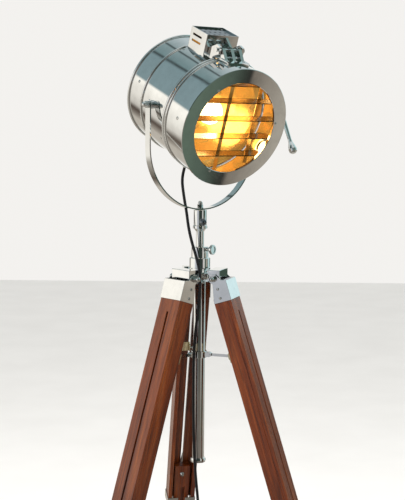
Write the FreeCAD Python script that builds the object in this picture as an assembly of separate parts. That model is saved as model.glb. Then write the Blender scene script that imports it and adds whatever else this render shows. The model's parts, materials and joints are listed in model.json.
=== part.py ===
import FreeCAD, Part
import math
import os

# Tripod floor lamp: a polished searchlight head in a U-shaped yoke, a telescopic mast and
# three folding wooden legs.  Millimetres, +Z up, floor at z = 0, +Y to the back.
# The column stands at (COLUMN_X, COLUMN_Y), so that the origin is the centre of the footprint.

V = FreeCAD.Vector
os.makedirs("parts", exist_ok=True)

# ---- driving dimensions -------------------------------------------------------------------
HUB_Z = 1100.0            # plate of the hub above the floor
SPREAD = 17.5             # lean of a leg from the vertical, degrees
AZIMUTHS = {"right": -19.0, "rear": 101.0, "left": 221.0}
FIT = 0.05                # radial clearance of a fixed or running fit
GAP = 0.3                 # clearance between faces that move past each other

HINGE_R = 46.0            # leg hinge axis from the column axis
HINGE_DZ = -10.0          # leg hinge axis from the hub plate
LEG_W = 70.0              # leg section across
LEG_OUT = 27.5            # outer face of a leg from its hinge axis
LEG_IN = -14.5            # inner edge of a leg from its hinge axis
BOARD = 9.5               # thickness of the leg boards
UPPER_TOP = 22.0          # top and end of the upper leg, down the leg from its hinge
UPPER_END = 660.0
SLOT_TOP = 88.0
SLOT_END = 636.0
SLOT_W = 5.4
SHIN_TOP = 551.0          # top of the sliding lower leg, down the leg from its hinge
SHIN_W = 40.0
SHIN_OUT = LEG_OUT - BOARD - 0.5
SHIN_IN = -4.5
CLAMP_S = 576.0           # clamp screw of the lower leg, down the leg from its hinge
BRACKET_S = 190.0         # spreader bracket, down the leg from its hinge

TUBE_R = 14.3             # outer tube of the column
TUBE_BORE = 12.3
TUBE_END = -455.0         # lower end of the tube from the hub plate
MAST_R = 9.6
MAST_TOP = 98.0
MAST_FOOT = -250.0
COLLAR_R = 27.0           # spreader pivots from the column axis

PIVOT_DZ = 394.5          # tilt axis of the head above the hub plate
YOKE_R = 147.0            # outside of the yoke strip
YOKE_T = 3.0
YOKE_W = 20.0
YOKE_DROP = 98.0          # centre of the yoke's half circle below the tilt axis
PAN = -56.1               # direction the head faces, degrees about +Z from +X
TILT = 21.0               # dip of the head, degrees

DRUM_R = 133.0
DRUM_BACK = -108.0
DRUM_FRONT = 60.0
WALL = 1.5
DOOR_R = 136.0
DOOR_BACK = 64.5
RING_X = 148.5            # front face of the head
RING_R = 140.0
RING_BORE = 107.0
DOOR_HINGE_X = 62.3
DOOR_HINGE_Z = 155.0

CORD_R = 3.5

# ---- derived places -----------------------------------------------------------------------
LEAN = math.radians(SPREAD)
SHIN_MID = (SHIN_OUT + SHIN_IN) / 2
LEG_REACH = (HUB_Z + HINGE_DZ + SHIN_MID * math.sin(LEAN)) / math.cos(LEAN)
FOOT_R = HINGE_R + SHIN_MID * math.cos(LEAN) + LEG_REACH * math.sin(LEAN)
FEET = [(FOOT_R * math.cos(math.radians(a)), FOOT_R * math.sin(math.radians(a)))
        for a in AZIMUTHS.values()]
COLUMN_X = -(max(x for x, y in FEET) + min(x for x, y in FEET)) / 2
COLUMN_Y = -(max(y for x, y in FEET) + min(y for x, y in FEET)) / 2
ORIGIN_SHIFT = V(COLUMN_X, COLUMN_Y, 0)
PIVOT = V(0, 0, HUB_Z + PIVOT_DZ)


# ---- helpers ------------------------------------------------------------------------------
def cyl(r, z0, z1):
    return Part.makeCylinder(r, z1 - z0, V(0, 0, z0))


def tube(r_out, r_in, z0, z1):
    return cyl(r_out, z0, z1).cut(cyl(r_in, z0 - 1, z1 + 1))


def rod(r, start, end):
    return Part.makeCylinder(r, (end - start).Length, start, end - start)


def box(x0, x1, y0, y1, z0, z1):
    return Part.makeBox(x1 - x0, y1 - y0, z1 - z0, V(x0, y0, z0))


def slab(points, y0, y1):
    """Plate with an outline of (x, z) points, from y0 to y1."""
    corners = [V(x, y0, z) for x, z in points]
    return Part.Face(Part.makePolygon(corners + corners[:1])).extrude(V(0, y1 - y0, 0))


def turned(points):
    """Solid turned about Z from an outline of (radius, z) points."""
    corners = [V(r, 0, z) for r, z in points]
    face = Part.Face(Part.makePolygon(corners + corners[:1]))
    return face.revolve(V(0, 0, 0), V(0, 0, 1), 360)


def hexagon(across, z0, z1):
    r = across / math.sqrt(3)
    corners = [V(r * math.cos(math.radians(60 * i)), r * math.sin(math.radians(60 * i)), z0)
               for i in range(6)]
    return Part.Face(Part.makePolygon(corners + corners[:1])).extrude(V(0, 0, z1 - z0))


def acorn_nut(across, height):
    """Closed nut on Z: hexagon below, dome above."""
    hex_h = 0.45 * height
    dome_r = 0.46 * across
    dome = Part.makeSphere(dome_r, V(0, 0, height - dome_r))
    return union(hexagon(across, 0, hex_h), cyl(dome_r, hex_h - 0.5, height - dome_r), dome)


def union(*shapes):
    return shapes[0].multiFuse(list(shapes[1:])).removeSplitter()


def moved(shape, placement):
    copy = shape.copy()
    copy.Placement = placement.multiply(copy.Placement)
    return copy


def turn(axis, degrees, at=V(0, 0, 0)):
    return FreeCAD.Placement(at, FreeCAD.Rotation(axis, degrees))


def shift(x, y, z):
    return FreeCAD.Placement(V(x, y, z), FreeCAD.Rotation())


def along(direction, at=V(0, 0, 0)):
    """Placement that lays the Z axis along a direction."""
    return FreeCAD.Placement(at, FreeCAD.Rotation(V(0, 0, 1), direction))


def softened(shape, radius, test):
    """Rounds the straight edges whose direction and middle pass a test."""
    edges = [e for e in shape.Edges if e.Curve.TypeId == "Part::GeomLine"
             and test(e.tangentAt(e.FirstParameter), e.CenterOfMass)]
    return shape.makeFillet(radius, edges) if edges else shape


def save(name, *shapes):
    shape = shapes[0] if len(shapes) == 1 else Part.makeCompound(list(shapes))
    copy = shape.copy()
    copy.translate(ORIGIN_SHIFT)
    if not all(s.isValid() for s in copy.Solids):
        print("not valid:", name)
    copy.exportStep("parts/%s.step" % name)


def leg_frame(azimuth):
    """Leg's own frame: x outward, y across, z up the leg, origin on the hinge axis."""
    a = math.radians(azimuth)
    at = V(HINGE_R * math.cos(a), HINGE_R * math.sin(a), HUB_Z + HINGE_DZ)
    return FreeCAD.Placement(at, FreeCAD.Rotation(V(0, 0, 1), azimuth).multiply(
        FreeCAD.Rotation(V(0, 1, 0), -SPREAD)))


YOKE_FRAME = turn(V(0, 0, 1), PAN, PIVOT)
HEAD_FRAME = YOKE_FRAME.multiply(turn(V(0, 1, 0), TILT))
AXIAL = turn(V(0, 1, 0), 90)          # lays a part turned about Z along the head's axis
COLUMN = shift(0, 0, HUB_Z)


# ---- hub and column -----------------------------------------------------------------------
ARM_HALF = 32.0
ARM_END = 60.0
ARM_TOP = 10.0
ARM_BOTTOM = -16.0
STUD_R = 4.0
CAP_T = 1.6
EAR_IN = LEG_W / 2 + 0.2
EAR_OUT = EAR_IN + CAP_T


def hub_casting():
    arms = []
    for azimuth in AZIMUTHS.values():
        arm = box(31, ARM_END, -ARM_HALF, ARM_HALF, ARM_BOTTOM, ARM_TOP)
        arm = softened(arm, 1.5, lambda t, c: c.x > ARM_END - 1)
        arm = arm.cut(moved(cyl(STUD_R + FIT, -50, 50),
                            turn(V(1, 0, 0), 90, V(HINGE_R, 0, HINGE_DZ))))
        arms.append(moved(arm, turn(V(0, 0, 1), azimuth)))
    body = union(*arms, cyl(37.5, -2, 1), cyl(20, ARM_BOTTOM, 11))
    body = body.cut(cyl(33.5, 1, ARM_TOP + 2).cut(cyl(20, 0, ARM_TOP + 2)))
    return body.cut(cyl(TUBE_R + FIT, ARM_BOTTOM - 1, 12))


def column_parts():
    save("hub_casting", moved(hub_casting(), COLUMN))
    lower = turned([(TUBE_R + FIT, 11.05), (25, 11.05), (25, 34.5), (23.5, 36), (TUBE_R + FIT, 36)])
    save("lower_collar", moved(lower, COLUMN))
    upper = turned([(MAST_R + FIT, 36.05), (20.5, 36.05), (20.5, 60.5), (19, 62),
                    (MAST_R + FIT, 62)])
    upper = upper.cut(moved(cyl(3 + FIT, 5, 30), THUMB_AXIS))
    save("mast_collar", moved(upper, COLUMN))
    save("outer_tube", moved(tube(TUBE_R, TUBE_BORE, TUBE_END, 36), COLUMN))
    ring = turned([(TUBE_R + FIT, TUBE_END + 2), (17.5, TUBE_END + 2), (18.3, TUBE_END - 3),
                   (17.5, TUBE_END - 8), (MAST_R + 1, TUBE_END - 8), (MAST_R + 1, TUBE_END - 0.05),
                   (TUBE_R + FIT, TUBE_END - 0.05)])
    save("tube_end_ring", moved(ring, COLUMN))


def hinge_hardware():
    studs = []
    nuts = []
    for azimuth in AZIMUTHS.values():
        place = COLUMN.multiply(turn(V(0, 0, 1), azimuth)).multiply(
            turn(V(1, 0, 0), 90, V(HINGE_R, 0, HINGE_DZ)))
        stud = union(cyl(STUD_R, -EAR_OUT - 12, EAR_OUT + 12),
                     tube(8, STUD_R - 1, ARM_HALF + 0.05, EAR_IN - GAP),
                     tube(8, STUD_R - 1, -EAR_IN + GAP, -ARM_HALF - 0.05))
        studs.append(moved(stud, place))
        nut = union(cyl(8.5, EAR_OUT + GAP, EAR_OUT + 1.8),
                    moved(acorn_nut(13, 15), shift(0, 0, EAR_OUT + 1.7)))
        nut = nut.cut(cyl(STUD_R + FIT, 0, EAR_OUT + 12.1))
        nuts.append(moved(nut, place))
        nuts.append(moved(nut, place.multiply(turn(V(1, 0, 0), 180))))
    save("hinge_studs", *studs)
    save("hinge_acorn_nuts", *nuts)


# ---- mast, thumbscrew and pan lock ----------------------------------------------------------
THUMB_AZ = -35.0
THUMB_DZ = 56.0
THUMB_AXIS = turn(V(0, 0, 1), THUMB_AZ, V(0, 0, THUMB_DZ)).multiply(turn(V(0, 1, 0), 90))
KNOB_AZ = -77.0
KNOB_DZ = 122.0
KNOB_AXIS = turn(V(0, 0, 1), KNOB_AZ, V(0, 0, KNOB_DZ)).multiply(turn(V(0, 1, 0), 90))
SOCKET_TOP = PIVOT_DZ - YOKE_DROP - YOKE_R


def mast_parts():
    shell = tube(MAST_R, MAST_R - 1.8, MAST_FOOT, 146)
    shoulder = turned([(MAST_R - 0.5, MAST_TOP), (MAST_R + 0.6, MAST_TOP), (15, 104.7),
                       (MAST_R - 0.5, 104.7)])
    foot = turned([(MAST_R - 0.5, MAST_FOOT), (TUBE_BORE - 0.08, MAST_FOOT),
                   (TUBE_BORE - 0.08, MAST_FOOT + 14), (MAST_R - 0.5, MAST_FOOT + 18)])
    save("inner_mast", moved(union(shell, shoulder, foot), COLUMN))
    screw = union(cyl(3, MAST_R + 0.1, 36), cyl(5, 21.5, 28), cyl(12, 34, 39.5))
    rim_edges = [e for e in screw.Edges if abs(e.CenterOfMass.z - 39.5) < 0.1]
    screw = screw.makeFillet(2.0, rim_edges)
    screw = screw.cut(cyl(8, 38, 41))
    save("mast_thumbscrew", moved(screw, COLUMN.multiply(THUMB_AXIS)))


def yoke_parts():
    socket = turned([(MAST_R + FIT, 105), (17.5, 105), (17.5, 111), (15.7, 112.5),
                     (15.7, SOCKET_TOP - 1.2), (14.5, SOCKET_TOP - FIT), (4 + FIT, SOCKET_TOP - FIT),
                     (4 + FIT, 147), (MAST_R + FIT, 147)])
    socket = socket.cut(moved(cyl(3 + FIT, 5, 30), KNOB_AXIS))
    save("pan_socket", moved(socket, COLUMN))
    knob = union(cyl(3, MAST_R + 0.1, 27), turned([(2, 16.2), (5.5, 16.2), (4, 20), (4, 25), (2, 25)]),
                 Part.makeSphere(8.5, V(0, 0, 32)))
    save("pan_lock_knob", moved(knob, COLUMN.multiply(KNOB_AXIS)))

    # the strip is one half circle with two straight arms, ending round above the tilt axis
    def outline(r):
        low = V(0, 0, -YOKE_DROP - r)
        left = V(0, r, -YOKE_DROP)
        right = V(0, -r, -YOKE_DROP)
        return [Part.LineSegment(V(0, r, 12), left).toShape(),
                Part.Arc(left, low, right).toShape(),
                Part.LineSegment(right, V(0, -r, 12)).toShape()]

    inner = YOKE_R - YOKE_T
    ends = [Part.LineSegment(V(0, -YOKE_R, 12), V(0, -inner, 12)).toShape(),
            Part.LineSegment(V(0, inner, 12), V(0, YOKE_R, 12)).toShape()]
    wire = Part.Wire(Part.__sortEdges__(outline(YOKE_R) + outline(inner) + ends))
    strip = Part.Face(wire)
    strip.translate(V(-YOKE_W / 2, 0, 0))
    strip = strip.extrude(V(YOKE_W, 0, 0))
    strip = softened(strip, 9.5, lambda t, c: abs(t.y) > 0.9 and c.z > 0)
    cross = moved(cyl(5 + FIT, -160, 160), turn(V(1, 0, 0), 90))
    foot_hole = cyl(4 + FIT, -260, -230)
    save("yoke_strip", moved(strip.cut(cross).cut(foot_hole), YOKE_FRAME))
    base = PIVOT_DZ - YOKE_DROP - YOKE_R + YOKE_T
    nut = moved(acorn_nut(12, 16), shift(0, 0, base + 1.85))
    nut = nut.cut(cyl(4 + FIT, base, base + 10))
    stud = cyl(4, 147.2, base + 9.8)
    washer = tube(8, 4 + FIT, base + 0.3, base + 1.8)
    save("yoke_foot_nut", moved(nut, COLUMN), moved(stud, COLUMN), moved(washer, COLUMN))


# ---- head ---------------------------------------------------------------------------------
VENT = (-42.0, 27.0, -44.0, 44.0, 178.0)


def rim(radius, x, bead):
    return Part.makeTorus(radius, bead, V(0, 0, x))


def drum_shell():
    shell = turned([(DRUM_R, DRUM_BACK), (DRUM_R, DRUM_FRONT), (DRUM_R - WALL, DRUM_FRONT),
                    (DRUM_R - WALL, DRUM_BACK)])
    beads = [rim(DRUM_R - 0.2, DRUM_BACK - 3, 4.0), rim(DRUM_R + 0.2, -49.6, 3.2),
             rim(DRUM_R + 1.2, DRUM_FRONT - 3.0, 4.2)]
    shell = union(shell, *beads)
    # the beads are rolled outward, so nothing of them stands inside the wall
    shell = shell.cut(cyl(DRUM_R - WALL, DRUM_BACK - 10, DRUM_FRONT + 6))
    shell = moved(shell, AXIAL)
    bosses = [moved(cyl(9.5, DRUM_R - 2.2, 139.3), turn(V(1, 0, 0), s)) for s in (90, -90)]
    shell = union(shell, *bosses)
    cuts = [moved(cyl(5 + FIT, DRUM_R - 12, 150), turn(V(1, 0, 0), s)) for s in (90, -90)]
    cuts.append(moved(cyl(6.2, 120, 140), GLAND_AXIS))
    x0, x1, y0, y1, top = VENT
    cuts.append(box(x0 + 8, x1 - 8, y0 + 8, y1 - 8, 100, 150))
    return shell.cut(Part.makeCompound(cuts))


GLAND_X = 5.0
GLAND_ANGLE = 4.4         # round the drum from straight down, towards the left
GLAND_TIP = 155.0
GLAND_AXIS = turn(V(1, 0, 0), 180 - GLAND_ANGLE, V(GLAND_X, 0, 0))


def head_parts():
    save("drum_shell", moved(drum_shell(), HEAD_FRAME))

    back = turned([(0, -124), (60, -121.5), (110, -117), (DRUM_R - 3, -112.4),
                   (DRUM_R - WALL - FIT, -107), (DRUM_R - WALL - FIT, -98),
                   (DRUM_R - WALL - 1.5, -98), (DRUM_R - WALL - 1.5, -106.6),
                   (109.6, -115.4), (59.7, -119.9), (0, -122.4)])
    slots = [box(-140, -100, -w, w, z - 2.5, z + 2.5)
             for z, w in ((-40, 34), (-26, 44), (-12, 48), (12, 48), (26, 44), (40, 34))]
    back = moved(back, AXIAL).cut(Part.makeCompound(slots))
    save("rear_cap", moved(back, HEAD_FRAME))

    x0, x1, y0, y1, top = VENT
    vent = box(x0, x1, y0, y1, 118, top)
    vent = softened(vent, 2.0, lambda t, c: abs(t.z) > 0.9)
    vent = vent.cut(box(x0 + 2, x1 - 2, y0 + 2, y1 - 2, 100, top + 1))
    vent = vent.cut(moved(cyl(DRUM_R + FIT, -200, 200), AXIAL))
    windows = [box(-30, 7, y, y + 10, z - 2.5, z + 2.5)
               for z in (149.5, 163.5) for y in (y0 - 4, y1 - 6)]
    vent = vent.cut(Part.makeCompound(windows))
    save("vent_box", moved(vent, HEAD_FRAME))
    lid = box(x0 + 2.2, x1 - 2.2, y0 + 2.2, y1 - 2.2, top - 5, top - 3.2)
    lip = box(x0 + 2.2, x1 - 2.2, y0 + 2.2, y1 - 2.2, top - 12, top - 5)
    lip = lip.cut(box(x0 + 4, x1 - 4, y0 + 4, y1 - 4, top - 13, top - 4))
    holes = [moved(cyl(3, top - 8, top), shift(x, y, 0))
             for x in (-28, -8, 12) for y in (-28, -14, 0, 14, 28)]
    save("vent_lid", moved(union(lid, lip).cut(Part.makeCompound(holes)), HEAD_FRAME))

    bowl = [(r, -70 + r * r / 122.0) for r in (24, 48, 72, 96, 120)]
    outer = [(r + 0.6, z - 1.2) for r, z in reversed(bowl)]
    flange = [(DRUM_R - WALL - 0.2, 48.0), (DRUM_R - WALL - 0.2, 46.6)]
    dish = turned(bowl + flange + outer)
    save("reflector", moved(moved(dish, AXIAL), HEAD_FRAME))

    holder = turned([(0, -96), (17, -96), (17, -66), (20, -64), (20, -40), (14.2, -40),
                     (14.2, -62), (0, -62)])
    plate = turned([(17.3, -98.5), (28, -98.5), (28, -96.2), (17.3, -96.2)])
    bars = [box(-99.8, -98.2, y - 7, y + 7, -118, 118) for y in (-21, 21)]
    bars = [b.common(moved(cyl(DRUM_R - WALL - 2.2, -120, -60), AXIAL)) for b in bars]
    holder = moved(union(holder, plate), AXIAL)
    save("lamp_holder", *[moved(s, HEAD_FRAME) for s in [holder] + bars])

    glass = turned([(0, 66), (12, 64.5), (22, 59), (28.5, 49), (30, 38), (28, 26), (22, 8),
                    (16, -8), (13.5, -22), (13.5, -36), (0, -36)])
    cap = turned([(0, -61.8), (6, -61.8), (13.3, -57), (13.3, -36.1), (0, -36.1)])
    save("bulb_glass", moved(moved(glass, AXIAL), HEAD_FRAME))
    save("bulb_cap", moved(moved(cap, AXIAL), HEAD_FRAME))

    # pivot screws: a stub in each drum boss, a spacer, and a dome nut on the left
    spacers = []
    for side in (90, -90):
        spacers.append(moved(tube(8.5, 5 + FIT, 139.35, 143.7), turn(V(1, 0, 0), side)))
    left_turn = turn(V(1, 0, 0), 90)
    right_turn = turn(V(1, 0, 0), -90)
    left = union(cyl(5, 124, 158), cyl(9, 121, 130))
    left_nut = union(cyl(8, YOKE_R + GAP, YOKE_R + 2.3),
                     moved(acorn_nut(14, 13), shift(0, 0, YOKE_R + 2.2)))
    left_nut = left_nut.cut(cyl(5 + FIT, 140, 158.1))
    right = union(cyl(5, 124, 170), cyl(9, 121, 130))
    save("pivot_bolts", moved(moved(left, left_turn), HEAD_FRAME),
         moved(moved(right, right_turn), HEAD_FRAME),
         moved(moved(left_nut, left_turn), HEAD_FRAME), *[moved(s, HEAD_FRAME) for s in spacers])

    gland = turned([(CORD_R + 0.1, 121), (9.5, 121), (9.5, 130.9), (6, 130.9), (6, 134.2), (9.5, 134.2),
                    (9, 137), (5.2, GLAND_TIP), (CORD_R + 0.1, GLAND_TIP)])
    save("cord_gland", moved(moved(gland, GLAND_AXIS), HEAD_FRAME))


# lever that clamps the tilt, on the right pivot bolt; its arm lies beside the drum
LEVER_Y = 164.0
LEVER_BEND = V(112, LEVER_Y, 6)
LEVER_NECK = V(150, LEVER_Y, -27)
LEVER_TIP = V(168, LEVER_Y, -43)


def tilt_lever():
    hub = moved(turned([(5 + FIT, 147.3), (12, 147.3), (13, 150), (13, 170), (11, 172.5), (0, 173.5),
                        (0, 170.2), (5 + FIT, 170.2)]), turn(V(1, 0, 0), -90))
    arm = rod(5.0, V(8, LEVER_Y, 0), LEVER_BEND)
    elbow = Part.makeSphere(5.3, LEVER_BEND)
    run = LEVER_TIP - LEVER_BEND
    length = run.Length
    handle = turned([(0, 0), (5.6, 0), (5.2, 16), (4.6, length - 26), (5.4, length - 18),
                     (8.6, length - 8), (10.2, length), (9.2, length + 6), (5.6, length + 9.5),
                     (0, length + 11)])
    handle = moved(handle, along(run, LEVER_BEND))
    lever = union(hub, arm, elbow, handle)
    return lever.cut(moved(cyl(5 + FIT, 140, 170.2), turn(V(1, 0, 0), -90)))


# ---- front door of the head -----------------------------------------------------------------
SLAT_Z = (-71.0, -28.5, 14.0, 56.5, 96.0)
STRAP_Y = (-82.0, 0.0, 82.0)


def door_parts():
    housing = turned([(DOOR_R, DOOR_BACK), (DOOR_R, RING_X - 2.6), (DOOR_R - WALL, RING_X - 2.6),
                      (DOOR_R - WALL, DOOR_BACK)])
    bead = rim(DOOR_R - 0.5, DOOR_BACK + 3.6, 3.6).cut(cyl(DOOR_R - WALL, 0, 200))
    save("front_housing", moved(moved(union(housing, bead), AXIAL), HEAD_FRAME))
    ring = turned([(RING_R, RING_X - 2.5), (RING_R, RING_X - 1.0), (RING_R - 1.0, RING_X),
                   (RING_BORE + 1.0, RING_X), (RING_BORE, RING_X - 1.0), (RING_BORE, RING_X - 7),
                   (RING_BORE + 1.6, RING_X - 7), (RING_BORE + 1.6, RING_X - 2.5)])
    save("bezel_ring", moved(moved(ring, AXIAL), HEAD_FRAME))

    straps = []
    slats = []
    reach = DOOR_R - WALL - 2
    for y in STRAP_Y:
        half = math.sqrt(reach ** 2 - y ** 2) - 2
        straps.append(box(104, 105.4, y - 5, y + 5, -half, half))
    for z in SLAT_Z:
        half = math.sqrt(reach ** 2 - z ** 2) - 4
        slats.append(box(105.6, 139.4, -half, half, z - 0.6, z + 0.6))
    save("louvre", *[moved(s, HEAD_FRAME) for s in slats + straps])


def hinge_parts():
    drum_cyl = moved(cyl(DRUM_R + FIT, -200, 200), AXIAL)
    door_cyl = moved(cyl(DOOR_R + FIT, -200, 200), AXIAL)
    bead_clear = moved(cyl(DRUM_R + 6, DRUM_FRONT - 7.6, 90), AXIAL)
    axis = turn(V(1, 0, 0), 90, V(DOOR_HINGE_X, 0, DOOR_HINGE_Z))
    # fixed leaf in front of the vent box, with two lugs
    leaf = box(27.5, 50, -34, 34, 120, 137)
    lugs = [slab([(28, 136), (50, 136), (DOOR_HINGE_X + 8, 147), (DOOR_HINGE_X + 8, 163),
                  (DOOR_HINGE_X - 6, 166), (30, 150)], y, y + 6) for y in (-34, 28)]
    fixed = union(leaf, *lugs).cut(drum_cyl).cut(bead_clear.common(box(0, 200, -90, 90, 0, 141)))
    fixed = fixed.cut(moved(cyl(3 + FIT, -60, 60), axis))
    # moving leaf on the front housing, with one wide knuckle
    plate = box(DOOR_BACK + 8.5, 108, -30, 30, 120, 139.5)
    plate = softened(plate, 2.0, lambda t, c: abs(t.z) > 0.9 and c.x > 100)
    arms = [slab([(DOOR_BACK + 8.5, 138.5), (DOOR_BACK + 26, 138.5), (DOOR_HINGE_X + 7, 161),
                  (DOOR_HINGE_X - 5, 161), (DOOR_HINGE_X - 7, 150), (DOOR_BACK + 3, 147)], y, y + 8)
            for y in (-26.5, -4, 18.5)]
    leaf = union(plate, *arms).cut(door_cyl)
    leaf = leaf.cut(moved(cyl(3 + FIT, -60, 60), axis))
    save("hinge_leaf_door", moved(leaf, HEAD_FRAME))
    pin = union(cyl(3, -38, 38), cyl(5, 36, 38.5), cyl(5, -38.5, -36))
    save("hinge_leaf_drum", moved(fixed, HEAD_FRAME), moved(moved(pin, axis), HEAD_FRAME))


# ---- legs ---------------------------------------------------------------------------------
def leg_channel():
    """Back board with its long slot, and two side boards, as three glued solids."""
    half = LEG_W / 2
    back = box(LEG_OUT - BOARD, LEG_OUT, -half, half, -UPPER_END, -UPPER_TOP)
    slot = box(0, 60, -SLOT_W / 2, SLOT_W / 2, -SLOT_END, -SLOT_TOP)
    back = back.cut(slot)
    side = [(LEG_OUT - BOARD - FIT, -UPPER_TOP), (-3, -UPPER_TOP), (LEG_IN, -50),
            (LEG_IN, -UPPER_END), (LEG_OUT - BOARD - FIT, -UPPER_END)]
    return [back, slab(side, half - BOARD, half), slab(side, -half, BOARD - half)]


def leg_cap():
    """Folded cap over the top of the leg, with an ear on each side for the hinge stud."""
    half = EAR_OUT
    front = box(LEG_OUT + 0.2, LEG_OUT + 0.2 + CAP_T, -half, half, -58, -11)
    top = box(-4, LEG_OUT + 1, -half, half, -UPPER_TOP + 0.2, -UPPER_TOP + 1.8)
    outline = [(LEG_OUT + 0.2 + CAP_T, -58), (LEG_OUT + 0.2 + CAP_T, -11), (17, -7.5), (10.2, 4),
               (7, 8.5), (0, 11), (-7, 8.5), (-10.5, 3), (-11, -6), (-5, -12), (-15, -58)]
    plates = [slab(outline, EAR_IN, EAR_OUT), slab(outline, -EAR_OUT, -EAR_IN)]
    cap = union(front, top, *plates)
    return cap.cut(moved(cyl(STUD_R + FIT, -60, 60), turn(V(1, 0, 0), 90)))


def leg_band():
    """Clip round the end of the upper leg, open on the inner side."""
    low, high = -UPPER_END - 3, -UPPER_END + 18
    half = EAR_OUT
    shell = box(LEG_IN - 0.2 - CAP_T, LEG_OUT + 0.2 + CAP_T, -half, half, low, high)
    shell = shell.cut(box(LEG_IN - 0.2, LEG_OUT + 0.2, -EAR_IN, EAR_IN, low - 1, high + 1))
    return shell.cut(box(LEG_IN - 10, LEG_IN + 5, -9, 9, low - 1, high + 1))


def spreader_bracket():
    """Two angle plates on the inner edges of the side boards; the arm runs between them."""
    low, high = -BRACKET_S - 12, -BRACKET_S + 12
    face = LEG_IN - FIT
    halves = []
    for side in (1, -1):
        ys = sorted((7.2 * side, 34.5 * side))
        plate = box(face - 2, face, ys[0], ys[1], low, high)
        ys = sorted((7.2 * side, 9.7 * side))
        ear = box(face - 13, face, ys[0], ys[1], low + 3, high - 3)
        ear = softened(ear, 5.0, lambda t, c: abs(t.y) > 0.9 and c.x < face - 12)
        halves.append(union(plate, ear))
    return halves


def lower_leg():
    body = box(SHIN_IN, SHIN_OUT, -SHIN_W / 2, SHIN_W / 2, -LEG_REACH + 34, -SHIN_TOP)
    groove = box(SHIN_IN - 1, SHIN_IN + 7, -8.5, 8.5, -LEG_REACH, -SHIN_TOP - 66)
    body = body.cut(groove)
    bore = moved(cyl(2.5 + FIT, -10, 40), turn(V(0, 1, 0), 90, V(0, 0, -CLAMP_S)))
    return body.cut(bore)


def foot_tip():
    """Rubber shoe, flat on the floor; built upright about the foot's own axis."""
    shoe = box(SHIN_IN - 3, SHIN_OUT + 3, -SHIN_W / 2 - 3, SHIN_W / 2 + 3,
               -LEG_REACH - 12, -LEG_REACH + 44)
    shoe = softened(shoe, 4.0, lambda t, c: abs(t.z) > 0.9)
    pocket = box(SHIN_IN - FIT, SHIN_OUT + FIT, -SHIN_W / 2 - FIT, SHIN_W / 2 + FIT,
                 -LEG_REACH + 34 - FIT, -LEG_REACH + 60)
    return shoe.cut(pocket)


def clamp_screw():
    """Wing screw through the slot and the lower leg; x is its axis."""
    shank = cyl(2.5, SHIN_IN - 4, LEG_OUT + 8)
    head = turned([(0, SHIN_IN - 5.2), (3.5, SHIN_IN - 4.6), (7, SHIN_IN - 0.8), (7, SHIN_IN - GAP),
                   (0, SHIN_IN - GAP)])
    washer = cyl(9, LEG_OUT + GAP, LEG_OUT + 1.9)
    hub = turned([(0, LEG_OUT + 1.8), (7, LEG_OUT + 1.8), (5, LEG_OUT + 13), (0, LEG_OUT + 13)])
    wings = []
    for side in (1, -1):
        wing = [(3 * side, LEG_OUT + 2.5), (12 * side, LEG_OUT + 6), (24 * side, LEG_OUT + 17),
                (31 * side, LEG_OUT + 22), (32 * side, LEG_OUT + 27), (27 * side, LEG_OUT + 28.5),
                (18 * side, LEG_OUT + 22), (3 * side, LEG_OUT + 12)]
        wings.append(slab(wing, -1.6, 1.6))
    return union(shank, head, washer, hub, *wings)


WING_TURN = {"right": 75.0, "rear": 20.0, "left": 100.0}


def leg_parts():
    for name, azimuth in AZIMUTHS.items():
        frame = leg_frame(azimuth)
        save("leg_channel_" + name, *[moved(s, frame) for s in leg_channel()])
        save("leg_cap_" + name, moved(leg_cap(), frame))
        save("leg_band_" + name, moved(leg_band(), frame))
        save("spreader_bracket_" + name, *[moved(s, frame) for s in spreader_bracket()])
        save("lower_leg_" + name, moved(lower_leg(), frame))
        tip = moved(foot_tip(), frame).cut(box(-900, 900, -900, 900, -100, 0))
        save("foot_tip_" + name, tip)
        clamp = turn(V(0, 1, 0), 90, V(0, 0, -CLAMP_S)).multiply(turn(V(0, 0, 1), WING_TURN[name]))
        save("clamp_screw_" + name, moved(moved(clamp_screw(), clamp), frame))


# ---- spreader -----------------------------------------------------------------------------
BRACKET_X = LEG_IN - 7.0
SPREADER_R = (HINGE_R + BRACKET_X * math.cos(LEAN) + BRACKET_S * math.sin(LEAN))
SPREADER_DZ = HINGE_DZ + BRACKET_X * math.sin(LEAN) - BRACKET_S * math.cos(LEAN)


def spreader_parts():
    level = shift(0, 0, HUB_Z + SPREADER_DZ)
    collar = turned([(TUBE_R + 0.3, -8), (18.5, -8), (19, -7.5), (19, 7.5), (18.5, 8),
                     (TUBE_R + 0.3, 8)])
    lugs = []
    for azimuth in AZIMUTHS.values():
        cheeks = [slab([(16.8, -5), (COLLAR_R, -6), (COLLAR_R + 5, -3), (COLLAR_R + 5, 3),
                        (COLLAR_R, 6), (16.8, 5)], y, y + 2.5) for y in (-6, 3.5)]
        holes = moved(cyl(2 + FIT, -10, 10), turn(V(1, 0, 0), 90, V(COLLAR_R, 0, 0)))
        lugs.extend(moved(c.cut(holes), turn(V(0, 0, 1), azimuth)) for c in cheeks)
    collar = union(collar, *lugs).cut(cyl(TUBE_R + 0.3, -20, 20))
    save("spreader_collar", moved(collar, level))
    for name, azimuth in AZIMUTHS.items():
        length = SPREADER_R - COLLAR_R
        bar = box(4, length - 4, -1.5, 1.5, -3.5, 3.5)
        eyes = [moved(cyl(5.5, -3, 3), turn(V(1, 0, 0), 90, V(x, 0, 0))) for x in (0, length)]
        pins = [moved(cyl(2, -6.6, 6.6), turn(V(1, 0, 0), 90)),
                moved(cyl(2, -6.5, 6.5), turn(V(1, 0, 0), 90, V(length, 0, 0)))]
        arm = union(bar, *eyes, *pins)
        place = level.multiply(turn(V(0, 0, 1), azimuth)).multiply(shift(COLLAR_R, 0, 0))
        save("spreader_arm_" + name, moved(arm, place))


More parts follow.
